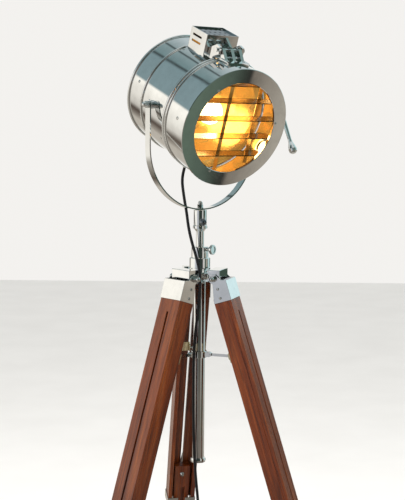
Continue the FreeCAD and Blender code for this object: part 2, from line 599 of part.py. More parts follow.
# ---- cord -----------------------------------------------------------------------------------
GLAND_END = HEAD_FRAME.multVec(GLAND_AXIS.multVec(V(0, 0, GLAND_TIP)))
GLAND_OUT = HEAD_FRAME.multVec(GLAND_AXIS.multVec(V(0, 0, GLAND_TIP + 17)))


def hub_points(points):
    return [V(x, y, HUB_Z + z) for x, y, z in points]


# corners of the cord, in the column's frame: from the gland down past the yoke, the mast and
# the hub, down the front of the tube and to the coil on the floor
PAST_HEAD = [GLAND_END, GLAND_OUT] + hub_points([
    (-44, 38, 212), (-41, 29, 190), (-37, 17, 166)])
PAST_YOKE = hub_points([(-32, 3, 141), (-28, -8, 110)])
PAST_MAST = hub_points([(-20, -23, 76), (-8, -39, 40)])
PAST_HUB = hub_points([(3, -50.5, 4), (5.5, -53, -26), (6, -52.5, -64), (2.5, -43, -106),
                       (-3, -33.5, -152), (-7, -28, -200), (-7.5, -27, -260), (-7, -27.5, -340),
                       (-6, -28.5, -415), (-3, -30.5, -490), (1.5, -32, -560), (5, -33, -640),
                       (6.5, -33, -730), (8, -35, -820), (7, -40, -905), (8, -43, -965),
                       (9, -45.5, -1005), (9.8, -46.5, -1036), (10.8, -51, -1059.5),
                       (13, -64, -1079), (16, -83.5, -1091.8), (19.5, -106.5, -1096.2),
                       (21.8, -121.3, -1096.2)])
MEETS = [(a[-1] + b[0]) * 0.5 for a, b in ((PAST_HEAD, PAST_YOKE), (PAST_YOKE, PAST_MAST),
                                           (PAST_MAST, PAST_HUB))]
CORD_ROUTES = {
    "cord_head_drop": PAST_HEAD + [MEETS[0]],
    "cord_yoke_drop": [MEETS[0]] + PAST_YOKE + [MEETS[1]],
    "cord_mast_drop": [MEETS[1]] + PAST_MAST + [MEETS[2]],
    "cord_run": [MEETS[2]] + PAST_HUB,
}


def rounded_route(points, label):
    """Straight runs joined by tangent arcs: each arc takes 0.45 of its shorter run."""
    edges = []
    here = points[0]
    radii = []
    for before, at, after in zip(points, points[1:], points[2:]):
        back, ahead = (before - at), (after - at)
        turn_angle = math.pi - back.getAngle(ahead)
        reach = 0.45 * min(back.Length, ahead.Length)
        radii.append(reach / math.tan(turn_angle / 2))
        back.normalize()
        ahead.normalize()
        start, end = at + back * reach, at + ahead * reach
        middle = back + ahead
        middle.normalize()
        centre = at + middle * math.hypot(radii[-1], reach)
        crown = centre - middle * radii[-1]
        edges.append(Part.LineSegment(here, start).toShape())
        edges.append(Part.Arc(start, crown, end).toShape())
        here = end
    edges.append(Part.LineSegment(here, points[-1]).toShape())
    wire = Part.Wire(edges)
    print(label, "length %.0f" % wire.Length, "radii", [round(r) for r in radii])
    return wire


def cord_tube(points, label):
    wire = rounded_route(points, label)
    first = points[1] - points[0]
    profile = Part.Wire(Part.Circle(points[0], first, CORD_R).toShape())
    solid = wire.makePipeShell([profile], True, False)
    ratio = solid.Volume / (math.pi * CORD_R ** 2 * wire.Length)
    print(label, "volume over section x length %.4f" % ratio)
    return solid, wire.Length


COIL_AT = V(28.9, -167, 0)
COIL_OUT = 46.0
COIL_IN = 25.0
COIL_H = 14.5
COIL_TURN_R = 42.4        # centreline of the outermost turn
TAIL_END = 42.0           # length of the straight tail from the coil to the plug
TAIL_Z = 11.8
PLUG_TURN = 20.0


def cord_parts():
    total = 0
    for name, points in CORD_ROUTES.items():
        solid, length = cord_tube(points, name)
        total += length
        save(name, solid)
    print("cord before the coil %.0f" % total)
    side = turn(V(0, 0, 1), PLUG_TURN, COIL_AT)
    coil = moved(tube(COIL_OUT, COIL_IN, 0.3, COIL_H), side)
    tail = moved(rod(CORD_R - 0.05, V(0, -COIL_TURN_R, TAIL_Z), V(TAIL_END, -COIL_TURN_R, TAIL_Z)), side)
    save("cord_coil", union(coil, tail))
    body = moved(turned([(0, 0), (8, 0), (8.5, 10), (11.5, 16), (11.5, 36), (10.5, 38), (0, 38)]),
                 turn(V(0, 1, 0), 90))
    pins = [moved(cyl(2.2, 37.5, 57), turn(V(0, 1, 0), 90, V(0, y, 0))) for y in (-6.5, 6.5)]
    place = side.multiply(shift(TAIL_END + FIT, -COIL_TURN_R, TAIL_Z))
    save("mains_plug", *[moved(s, place) for s in (body, *pins)])


column_parts()
hinge_hardware()
mast_parts()
yoke_parts()
head_parts()
save("tilt_lever", moved(tilt_lever(), HEAD_FRAME))
door_parts()
hinge_parts()
leg_parts()
spreader_parts()
cord_parts()
print("column at", round(COLUMN_X, 2), round(COLUMN_Y, 2), "leg reach", round(LEG_REACH, 2),
      "spreader", round(SPREADER_R, 2), round(SPREADER_DZ, 2))
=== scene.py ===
"""Tripod floor lamp: looks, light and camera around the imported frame.  Metres, +Z up."""
import json
import math

import bmesh
import bpy
from mathutils import Matrix, Vector


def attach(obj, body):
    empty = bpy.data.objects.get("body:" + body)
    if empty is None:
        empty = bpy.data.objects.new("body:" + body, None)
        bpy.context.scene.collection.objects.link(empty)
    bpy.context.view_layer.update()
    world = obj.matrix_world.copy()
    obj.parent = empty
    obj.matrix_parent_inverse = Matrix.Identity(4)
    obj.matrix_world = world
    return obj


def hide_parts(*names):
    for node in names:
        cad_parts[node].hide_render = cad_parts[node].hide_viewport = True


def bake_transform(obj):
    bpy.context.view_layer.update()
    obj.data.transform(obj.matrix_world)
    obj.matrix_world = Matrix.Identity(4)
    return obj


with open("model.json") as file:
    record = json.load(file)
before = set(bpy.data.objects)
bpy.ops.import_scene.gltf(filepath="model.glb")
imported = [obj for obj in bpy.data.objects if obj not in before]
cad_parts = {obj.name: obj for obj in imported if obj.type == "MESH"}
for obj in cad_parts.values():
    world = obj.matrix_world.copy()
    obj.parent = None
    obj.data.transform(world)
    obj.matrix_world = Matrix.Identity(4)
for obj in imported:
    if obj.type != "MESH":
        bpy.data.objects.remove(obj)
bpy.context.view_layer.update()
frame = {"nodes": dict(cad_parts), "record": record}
NODES = frame["nodes"]

# ---- places of the CAD model ------------------------------------------------------------------
MM = 0.001
COLUMN = Vector((-0.037827, -0.064542, 0.0))
HUB_Z = 1.1
SPREAD = math.radians(17.5)
AZIMUTHS = {"right": -19.0, "rear": 101.0, "left": 221.0}
HINGE_R = 0.046
HINGE_DZ = -0.010
PAN = math.radians(-56.1)
TILT = math.radians(21.0)
PIVOT = COLUMN + Vector((0, 0, HUB_Z + 0.3945))
CORD_D = 0.007

# where screw heads sit: radii on the round head, and distances on a leg from its own axis
DRUM_FACE = 0.1329
HOUSING_FACE = 0.1359
BEZEL_FACE = 0.1484
BEZEL_SCREW_R = 0.1115
REAR_FACE = -0.1165
REAR_SCREW_R = 0.116
LEG_OUTER_FACE = 0.0292
CAP_SIDE_FACE = 0.0367
BRACKET_Z = -0.190
BAND_Z = -0.6525


def head_matrix():
    """Head's own frame: x forward along its axis, z up, origin on the tilt axis."""
    turn = Matrix.Rotation(PAN, 4, "Z") @ Matrix.Rotation(TILT, 4, "Y")
    return Matrix.Translation(PIVOT) @ turn


def leg_matrix(azimuth):
    """Leg's own frame: x outward, y across, z up the leg, origin on the hinge axis."""
    a = math.radians(azimuth)
    at = COLUMN + Vector((HINGE_R * math.cos(a), HINGE_R * math.sin(a), HUB_Z + HINGE_DZ))
    return Matrix.Translation(at) @ Matrix.Rotation(a, 4, "Z") @ Matrix.Rotation(-SPREAD, 4, "Y")


HEAD = head_matrix()
LEGS = {name: leg_matrix(azimuth) for name, azimuth in AZIMUTHS.items()}


# ---- materials --------------------------------------------------------------------------------
class Nodes:
    """Short way to write a node tree."""

    def __init__(self, tree):
        self.tree = tree
        tree.nodes.clear()

    def add(self, kind, inputs=None, **settings):
        node = self.tree.nodes.new(kind)
        for key, value in settings.items():
            setattr(node, key, value)
        for key, value in (inputs or {}).items():
            if isinstance(value, bpy.types.NodeSocket):
                self.tree.links.new(value, node.inputs[key])
            else:
                node.inputs[key].default_value = value
        return node

    def ramp(self, factor, stops, interpolation="LINEAR"):
        node = self.add("ShaderNodeValToRGB", {"Fac": factor})
        node.color_ramp.interpolation = interpolation
        elements = node.color_ramp.elements
        while len(elements) < len(stops):
            elements.new(0.5)
        for element, (at, colour) in zip(elements, stops):
            element.position = at
            element.color = (*colour, 1.0) if len(colour) == 3 else colour
        return node.outputs["Color"]

    def maths(self, operation, a, b=0.0):
        return self.add("ShaderNodeMath", {0: a, 1: b}, operation=operation).outputs[0]

    def mix(self, factor, a, b, blend="MIX"):
        node = self.add("ShaderNodeMix", data_type="RGBA", blend_type=blend)
        for key, value in ((0, factor), (6, a), (7, b)):
            if isinstance(value, bpy.types.NodeSocket):
                self.tree.links.new(value, node.inputs[key])
            else:
                node.inputs[key].default_value = value if key == 0 else (*value, 1.0)
        return node.outputs[2]


def new_material(name):
    material = bpy.data.materials.new(name)
    material.use_nodes = True
    return material, Nodes(material.node_tree)


def surface(n, inputs):
    shader = n.add("ShaderNodeBsdfPrincipled", inputs)
    n.add("ShaderNodeOutputMaterial", {"Surface": shader.outputs[0]})


def bump(n, height, strength, distance):
    return n.add("ShaderNodeBump", {"Height": height, "Strength": strength,
                                    "Distance": distance}).outputs[0]


def grey(value):
    return (value, value, value)


def metal(name, tint, rough=(0.03, 0.09), wave=0.0006, smudge=0.9, glow=0.0):
    """Hand-polished plate: faint smudges in tint and gloss, and slightly wavy reflections; glow gives it
    a painted orange glow.
    """
    material, n = new_material(name)
    place = n.add("ShaderNodeTexCoord").outputs["Object"]
    smears = n.add("ShaderNodeTexNoise", {"Vector": place, "Scale": 34.0, "Detail": 5.0,
                                          "Roughness": 0.62}).outputs["Fac"]
    waves = n.add("ShaderNodeTexNoise", {"Vector": place, "Scale": 11.0, "Detail": 1.0}).outputs["Fac"]
    colour = n.ramp(smears, [(0.3, [c * smudge for c in tint]), (0.62, tint)])
    gloss = n.ramp(smears, [(0.35, grey(rough[1])), (0.6, grey(rough[0]))])
    surface(n, {"Base Color": colour, "Metallic": 1.0, "Roughness": gloss,
                "Normal": bump(n, waves, 0.5, wave), "Emission Color": (1.0, 0.50, 0.10, 1.0),
                "Emission Strength": glow})
    return material


def wood(name, matrix, dark, mid, light, sheen):
    """Varnished mahogany: long grain down the leg, pores, and darker and lighter streaks."""
    material, n = new_material(name)
    place = n.add("ShaderNodeTexCoord").outputs["Object"]
    euler = matrix.to_3x3().transposed().to_euler("XYZ")
    local = n.add("ShaderNodeMapping", {"Vector": place, "Rotation": euler}).outputs[0]
    stretched = n.add("ShaderNodeMapping", {"Vector": local, "Scale": (46.0, 46.0, 2.6)}).outputs[0]
    bands = n.add("ShaderNodeTexNoise", {"Vector": stretched, "Scale": 1.0, "Detail": 4.0,
                                         "Roughness": 0.6, "Distortion": 0.9}).outputs["Fac"]
    fine = n.add("ShaderNodeMapping", {"Vector": local, "Scale": (420.0, 420.0, 16.0)}).outputs[0]
    pores = n.add("ShaderNodeTexNoise", {"Vector": fine, "Scale": 1.0, "Detail": 3.0}).outputs["Fac"]
    broad = n.add("ShaderNodeTexNoise", {"Vector": local, "Scale": 3.4, "Detail": 1.0}).outputs["Fac"]
    colour = n.ramp(bands, [(0.28, dark), (0.5, mid), (0.72, light)])
    flecks = n.ramp(pores, [(0.34, grey(0.45)), (0.5, grey(1.0))])
    colour = n.mix(0.75, colour, flecks, "MULTIPLY")
    colour = n.mix(0.5, colour, n.ramp(broad, [(0.35, grey(0.72)), (0.65, grey(1.12))]), "MULTIPLY")
    gloss = n.ramp(pores, [(0.35, grey(0.42)), (0.6, grey(0.26))])
    surface(n, {"Base Color": colour, "Roughness": gloss, "Coat Weight": sheen,
                "Coat Roughness": 0.16, "Normal": bump(n, pores, 0.35, 0.0004)})
    return material


def sheath(name, colour, rough, grain, scale):
    """Black plastic or rubber with a fine moulded grain."""
    material, n = new_material(name)
    place = n.add("ShaderNodeTexCoord").outputs["Object"]
    noise = n.add("ShaderNodeTexNoise", {"Vector": place, "Scale": scale, "Detail": 3.0}).outputs["Fac"]
    tint = n.ramp(noise, [(0.3, colour), (0.7, [c * 1.8 for c in colour])])
    gloss = n.ramp(noise, [(0.3, grey(rough + 0.1)), (0.7, grey(rough))])
    surface(n, {"Base Color": tint, "Roughness": gloss, "Normal": bump(n, noise, 0.4, grain)})
    return material


def glowing(name, colour, strength, core):
    """Lit frosted glass, whiter where the filament is."""
    material, n = new_material(name)
    place = n.add("ShaderNodeTexCoord").outputs["Object"]
    noise = n.add("ShaderNodeTexNoise", {"Vector": place, "Scale": 60.0, "Detail": 2.0}).outputs["Fac"]
    tint = n.ramp(noise, [(0.3, colour), (0.7, core)])
    surface(n, {"Base Color": (0.9, 0.86, 0.78, 1.0), "Roughness": 0.25, "Emission Color": tint,
                "Emission Strength": strength})
    return material


def louvre_plate(name):
    """Brushed slats with painted shade along both edges, over straps with a painted orange glow for the
    lamp lighting them from behind.
    """
    material, n = new_material(name)
    place = n.add("ShaderNodeTexCoord").outputs["Object"]
    ahead = HEAD.to_3x3() @ Vector((1, 0, 0))
    offset = n.add("ShaderNodeVectorMath", {0: place, 1: HEAD.translation}, operation="SUBTRACT")
    depth = n.add("ShaderNodeVectorMath", {0: offset.outputs[0], 1: ahead},
                  operation="DOT_PRODUCT").outputs["Value"]
    depth = n.maths("MULTIPLY", n.maths("SUBTRACT", depth, 0.1), 25.0)
    brushed = n.add("ShaderNodeTexNoise", {"Vector": place, "Scale": 90.0, "Detail": 4.0}).outputs["Fac"]
    # painted shade: the slats darken to near black in bands along both edges (depth 0.14 to 0.24 and
    # 0.88 to 1); the straps in front of depth 0.135 are orange
    tint = n.ramp(depth, [(0.0, (0.9, 0.6, 0.25)), (0.135, (0.9, 0.6, 0.25)), (0.14, grey(0.02)),
                          (0.20, (0.05, 0.03, 0.015)), (0.24, (0.44, 0.33, 0.22)),
                          (0.88, (0.44, 0.33, 0.22)), (0.91, (0.04, 0.025, 0.015)), (1.0, grey(0.02))])
    tint = n.mix(0.5, tint, n.ramp(brushed, [(0.3, grey(0.6)), (0.6, grey(1.0))]), "MULTIPLY")
    # painted glow: the rear straps emit orange light in place of the bulb lighting them
    strap_painted_glow = n.ramp(depth, [(0.0, (0.60, 0.27, 0.05)), (0.135, (0.60, 0.27, 0.05)), (0.14, grey(0))])
    surface(n, {"Base Color": tint, "Metallic": 1.0, "Roughness": 0.2, "Emission Color": strap_painted_glow,
                "Emission Strength": 0.3})
    return material


def paint(name, *objects):
    for o in objects:
        slots = o.data.materials
        slots.clear()
        slots.append(name)


CHROME = metal("chrome", (0.86, 0.875, 0.875))
CHROME_SMALL = metal("chrome_small", (0.80, 0.81, 0.80), (0.05, 0.14), 0.0002, 0.8)
# darkened copy of chrome; on the vent lid it is painted shade
CHROME_DARK = metal("chrome_dark", (0.20, 0.22, 0.25), (0.05, 0.12), 0.0005, 0.85)
PALE_BRASS = metal("pale_brass", (0.82, 0.72, 0.48), (0.08, 0.18), 0.0003, 0.8)
SATIN = metal("satin_plate", (0.95, 0.96, 0.95), (0.26, 0.4), 0.0003, 0.85)
LOUVRE = louvre_plate("louvre_metal")
# the reflector bowl's orange emission is a painted glow standing in for the bulb's light on it
BOWL = metal("mirror_bowl", (1.0, 0.66, 0.22), (0.14, 0.26), 0.0016, 0.85, 0.32)
BRASS = metal("brass", (0.80, 0.60, 0.27), (0.12, 0.26), 0.0003, 0.7)
BULB = glowing("bulb_glow", (1.0, 0.56, 0.17), 5.5, (1.0, 0.72, 0.36))
RUBBER = sheath("shoe_rubber", (0.018, 0.018, 0.018), 0.62, 0.0004, 900.0)
SHEATH = sheath("cord_sheath", (0.004, 0.004, 0.005), 0.42, 0.0001, 700.0)
PLUG = sheath("plug_plastic", (0.02, 0.02, 0.02), 0.45, 0.0002, 1100.0)
WOOD = {name: wood("mahogany_" + name, LEGS[name], (0.048, 0.0065, 0.001), (0.130, 0.023, 0.002),
                   (0.23, 0.055, 0.007), 0.22) for name in LEGS}

BY_SLOT = {"chrome": CHROME, "plated_hardware": CHROME_SMALL, "louvre_metal": LOUVRE,
           "mirror_bowl": BOWL, "bulb": BULB, "bulb_base": BRASS, "shoe_rubber": RUBBER,
           "cord_sheath": SHEATH, "plug_plastic": PLUG}
for part in frame["record"]["subparts"]:
    node, slot = part["node"], part["material_slot"]
    finish = WOOD[node.split("_")[-1]] if slot == "mahogany" else BY_SLOT[slot]
    paint(finish, NODES[node])
# painted shade: the vent lid gets darkened chrome for its shadowed face and recess; the pan lock knob
# gets the same dark chrome
paint(CHROME_DARK, NODES["vent_lid"], NODES["pan_lock_knob"])
paint(SATIN, NODES["pivot_bolts"])
paint(PALE_BRASS, *[NODES["spreader_bracket_" + name] for name in LEGS])

# softened edges catch the light on the boards and the folded plates
for node in NODES:
    flat_faced = node.startswith(("leg_channel", "lower_leg", "leg_cap", "leg_band", "hub_casting"))
    if flat_faced:
        weld = NODES[node].modifiers.new("weld", "WELD")
        weld.merge_threshold = 0.00001
        edge = NODES[node].modifiers.new("edge", "BEVEL")
        edge.width = 0.0007
        edge.segments = 2
        edge.limit_method = "ANGLE"
        edge.angle_limit = math.radians(50)


# ---- small pieces -----------------------------------------------------------------------------
def finish_mesh(name, bm, material, body, smooth=True):
    mesh = bpy.data.meshes.new(name)
    bmesh.ops.recalc_face_normals(bm, faces=bm.faces)
    bm.to_mesh(mesh)
    bm.free()
    for face in mesh.polygons:
        face.use_smooth = smooth
    o = bpy.data.objects.new(name, mesh)
    bpy.context.scene.collection.objects.link(o)
    paint(material, o)
    if body:
        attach(o, body)
    return o


def along(direction, at):
    """Matrix that lays the Z axis along a direction at a place."""
    turn = Vector(direction).to_track_quat("Z", "Y").to_matrix().to_4x4()
    return Matrix.Translation(at) @ turn


def lathe(bm, matrix, profile, steps=28):
    """Adds a piece turned about the matrix's Z axis from (radius, z) points."""
    rings = []
    for r, z in profile:
        if r < 1e-7:
            rings.append([bm.verts.new(matrix @ Vector((0, 0, z)))])
            continue
        rings.append([bm.verts.new(matrix @ Vector((r * math.cos(t), r * math.sin(t), z)))
                      for t in (2 * math.pi * i / steps for i in range(steps))])
    for low, high in zip(rings, rings[1:]):
        for i in range(steps):
            j = (i + 1) % steps
            if len(low) == 1 and len(high) == 1:
                continue
            if len(low) == 1:
                bm.faces.new((low[0], high[i], high[j]))
            elif len(high) == 1:
                bm.faces.new((low[i], low[j], high[0]))
            else:
                bm.faces.new((low[i], low[j], high[j], high[i]))


def slotted_head(bm, matrix, r, spin):
    """Raised screw head with a slot; its foot sits a little below the surface."""
    start = len(bm.verts)
    height = 0.42 * r
    profile = [(0, -0.1 * r), (r, -0.1 * r), (r, 0.25 * height)]
    profile += [(r * math.cos(t), height * (0.25 + 0.75 * math.sin(t)))
                for t in (math.radians(d) for d in (20, 40, 60, 78))]
    profile.append((0, height))
    lathe(bm, Matrix.Identity(4), profile, 24)
    bm.verts.ensure_lookup_table()
    width = 0.13 * r
    for offset in (-width - 0.02 * r, -width, width, width + 0.02 * r):
        fresh = set(bm.verts[start:])
        geom = list(fresh) + [e for e in bm.edges if e.verts[0] in fresh]
        geom += [f for f in bm.faces if f.verts[0] in fresh]
        bmesh.ops.bisect_plane(bm, geom=geom, plane_co=(0, offset, 0), plane_no=(0, 1, 0))
        bm.verts.ensure_lookup_table()
    spot = matrix @ Matrix.Rotation(spin, 4, "Z")
    for v in bm.verts[start:]:
        if abs(v.co.y) < width + 0.005 * r and v.co.z > 0.3 * height:
            v.co.z -= 0.5 * height
        v.co = spot @ v.co


def screws(name, body, spots, r, material=None):
    """Screw heads at (place, outward direction) pairs, as one piece."""
    bm = bmesh.new()
    for i, (at, out) in enumerate(spots):
        slotted_head(bm, along(out, at), r, 0.6 + 1.1 * i)
    return finish_mesh(name, bm, material or CHROME_SMALL, body)


def head_spot(x, angle, r):
    """Place and outward direction on the round head; the angle runs from the top, + to its left."""
    t = math.radians(angle)
    out = Vector((0, -math.sin(t), math.cos(t)))
    at = Vector((x, 0, 0)) + r * out
    return HEAD @ at, HEAD.to_3x3() @ out


def local_spot(matrix, at, out):
    return matrix @ Vector(at), matrix.to_3x3() @ Vector(out)


def round_face(x, radius, angles, facing):
    """Spots in a ring on a flat round face of the head; the angle runs from the top."""
    turns = [math.radians(angle) for angle in angles]
    return [local_spot(HEAD, (x, radius * math.sin(t), radius * math.cos(t)), (facing, 0, 0))
            for t in turns]


def head_screws():
    drum = ((0.006, 23), (-0.041, 24), (0.006, -23), (-0.041, -24), (-0.080, 78), (-0.080, -78),
            (-0.080, 180), (0.030, 180), (0.030, 122), (0.030, -122))
    screws("drum_screws", "head", [head_spot(x, angle, DRUM_FACE) for x, angle in drum], 0.0034)
    housing = [head_spot(0.112, angle, HOUSING_FACE) for angle in (86, -86, 145, -145, 180)]
    screws("housing_screws", "door", housing, 0.0038)
    screws("bezel_screws", "door", round_face(BEZEL_FACE, BEZEL_SCREW_R, (83, 203, -38), 1), 0.0028)
    screws("rear_screws", "head", round_face(REAR_FACE, REAR_SCREW_R, (45, 135, 225, 315), -1), 0.0032)
    hinge = [local_spot(HEAD, (0.094, y, 0.1394), (0, 0, 1)) for y in (-0.022, 0.0, 0.022)]
    screws("hinge_screws", "door", hinge, 0.0036)
    vent = [local_spot(HEAD, (x, y, 0.1747), (0, 0, 1)) for x in (-0.034, 0.019)
            for y in (-0.035, 0.035)]
    screws("vent_screws", "head", vent, 0.0022)


def leg_screws(name, matrix):
    cap = [local_spot(matrix, (0.004, side * CAP_SIDE_FACE, z), (0, side, 0))
           for side in (1, -1) for z in (-0.026, -0.048)]
    screws("cap_screws_" + name, "leg_" + name, cap, 0.0034)
    plates = [local_spot(matrix, (-0.0165, side * 0.026, BRACKET_Z + dz), (-1, 0, 0))
              for side in (1, -1) for dz in (-0.007, 0.007)]
    screws("bracket_screws_" + name, "leg_" + name, plates, 0.0024)
    band = [local_spot(matrix, (x, side * 0.024, BAND_Z), (facing, 0, 0))
            for x, facing in ((-0.0162, -1), (LEG_OUTER_FACE, 1)) for side in (1, -1)]
    screws("band_screws_" + name, "leg_" + name, band, 0.0030)


head_screws()
for leg, place in LEGS.items():
    leg_screws(leg, place)


# ---- cord -------------------------------------------------------------------------------------
def hub_points(points):
    return [COLUMN + Vector((x * MM, y * MM, HUB_Z + z * MM)) for x, y, z in points]


PAST_HEAD = hub_points([(-38.16, 35.46, 248.43), (-42.63, 39.78, 232.61), (-44, 38, 212),
                        (-41, 29, 190), (-37, 17, 166)])
PAST_YOKE = hub_points([(-32, 3, 141), (-28, -8, 110)])
PAST_MAST = hub_points([(-20, -23, 76), (-8, -39, 40)])
PAST_HUB = hub_points([(1, -50.5, 4), (1, -53.5, -26), (-1, -53, -64), (-5.5, -45, -106),
                       (-10, -35, -152), (-12.5, -28, -200), (-12.5, -27, -260), (-12, -27.5, -340),
                       (-10.5, -28.5, -415), (-6, -30.5, -490), (1.5, -32, -560), (5, -33, -640),
                       (6.5, -33, -730), (8, -35, -820), (7, -40, -905), (8, -43, -965),
                       (9, -45.5, -1005), (9.8, -46.5, -1036), (10.8, -51, -1059.5),
                       (13, -64, -1079), (16, -83.5, -1091.8), (19.5, -106.5, -1096.2)])
MEETS = [(a[-1] + b[0]) * 0.5 for a, b in ((PAST_HEAD, PAST_YOKE), (PAST_YOKE, PAST_MAST),
                                           (PAST_MAST, PAST_HUB))]
COIL_AT = COLUMN + Vector((0.0289, -0.167, 0.0))
PLUG_TURN = math.radians(20)
COIL_OUTER = 0.0424


def coil_points():
    """Six turns in two layers: inward along the floor, up, and outward again to the plug."""
    points = []
    steps_per_turn = 14
    first, last = math.radians(187), PLUG_TURN - math.pi / 2 + 12 * math.pi
    count = round((last - first) / (2 * math.pi) * steps_per_turn)
    for i in range(count + 1):
        angle = first + (last - first) * i / count
        turns = (angle - first) / (2 * math.pi)
        half = (last - first) / (4 * math.pi)
        inward = COIL_OUTER - CORD_D * min(turns, 2.0)
        outward = COIL_OUTER - CORD_D * min(2 * half - turns, 2.0)
        climb = min(max((turns - half) / 0.35 + 0.5, 0.0), 1.0)
        climb = climb * climb * (3 - 2 * climb)
        r = inward + (outward - inward) * climb
        points.append(COIL_AT + Vector((r * math.cos(angle), r * math.sin(angle),
                                        0.0038 + CORD_D * climb)))
    return points


def nurbs(name, points, bevel):
    curve = bpy.data.curves.new(name, "CURVE")
    curve.dimensions = "3D"
    spline = curve.splines.new("NURBS")
    spline.points.add(len(points) - 1)
    for p, at in zip(spline.points, points):
        p.co = (*at, 1.0)
    spline.order_u = 3
    spline.use_endpoint_u = True
    spline.resolution_u = 6
    curve.bevel_depth = bevel
    curve.bevel_resolution = 5
    curve.use_fill_caps = True
    o = bpy.data.objects.new(name, curve)
    bpy.context.scene.collection.objects.link(o)
    return o


def centreline(points):
    """Points along the route's smooth line."""
    guide = nurbs("guide", points, 0.0)
    bpy.context.view_layer.update()
    mesh = bpy.data.meshes.new_from_object(guide)
    line = [v.co.copy() for v in mesh.vertices]
    bpy.data.meshes.remove(mesh)
    bpy.data.objects.remove(guide)
    return line


def tube_mesh(name, points, material):
    """Round tube along a route, as a mesh."""
    line = centreline(points)
    bm = bmesh.new()
    rings = []
    steps = 16
    side = (line[1] - line[0]).orthogonal().normalized()
    for i, at in enumerate(line):
        ahead = (line[min(i + 1, len(line) - 1)] - line[max(i - 1, 0)]).normalized()
        side = (side - ahead * side.dot(ahead)).normalized()
        other = ahead.cross(side)
        rings.append([bm.verts.new(at + (side * math.cos(t) + other * math.sin(t)) * CORD_D / 2)
                      for t in (2 * math.pi * k / steps for k in range(steps))])
    for low, high in zip(rings, rings[1:]):
        for k in range(steps):
            j = (k + 1) % steps
            bm.faces.new((low[k], low[j], high[j], high[k]))
    bm.faces.new(rings[0][::-1])
    bm.faces.new(rings[-1])
    return finish_mesh(name, bm, material, None), line


def measure(line):
    return sum((b - a).length for a, b in zip(line, line[1:]))


for name, node, points, bodies in (
        ("cord_to_yoke", "cord_head_drop", PAST_HEAD + [MEETS[0]], ("head", "yoke")),
        ("cord_to_mast", "cord_yoke_drop", [MEETS[0]] + PAST_YOKE + [MEETS[1]], ("yoke", "mast")),
        ("cord_to_hub", "cord_mast_drop", [MEETS[1]] + PAST_MAST + [MEETS[2]], ("mast", "root"))):
    piece, line = tube_mesh(name, points, SHEATH)
    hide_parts(node)
    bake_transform(piece)

TAIL = [COIL_AT + Matrix.Rotation(PLUG_TURN, 3, "Z") @ Vector((s, -COIL_OUTER, 0.0118))
        for s in (0.012, 0.026, 0.042)]
ENTRY = [COIL_AT + Vector((x, y, 0.0038)) for x, y in (
    (-0.0215, 0.0440), (-0.0340, 0.0280), (-0.0410, 0.0110))]
lead_points = [MEETS[2]] + PAST_HUB + ENTRY + coil_points() + TAIL
lead = nurbs("mains_lead", lead_points, CORD_D / 2)
paint(SHEATH, lead)
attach(lead, "root")
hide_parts("cord_run", "cord_coil")
LEAD_LENGTH = measure(centreline(lead_points))

# ---- floor, light and camera ------------------------------------------------------------------
def stage_plane(name, size, matrix, material):
    bm = bmesh.new()
    half = size / 2
    corners = [(-half, -half), (half, -half), (half, half), (-half, half)]
    bm.faces.new([bm.verts.new(matrix @ Vector((x, y, 0))) for x, y in corners])
    mesh = bpy.data.meshes.new(name)
    bm.to_mesh(mesh)
    bm.free()
    o = bpy.data.objects.new(name, mesh)
    bpy.context.scene.collection.objects.link(o)
    paint(material, o)
    return o


def pale_floor():
    material, n = new_material("pale_floor")
    place = n.add("ShaderNodeTexCoord").outputs["Object"]
    speckle = n.add("ShaderNodeTexNoise", {"Vector": place, "Scale": 3.0, "Detail": 6.0}).outputs["Fac"]
    tint = n.ramp(speckle, [(0.3, (0.80, 0.785, 0.76)), (0.7, (0.84, 0.825, 0.80))])
    surface(n, {"Base Color": tint, "Roughness": 0.7, "Emission Color": (1.0, 0.985, 0.955, 1.0),
                "Emission Strength": 0.08})
    return material


floor = stage_plane("floor", 16.0, Matrix.Identity(4), pale_floor())
floor.visible_glossy = False


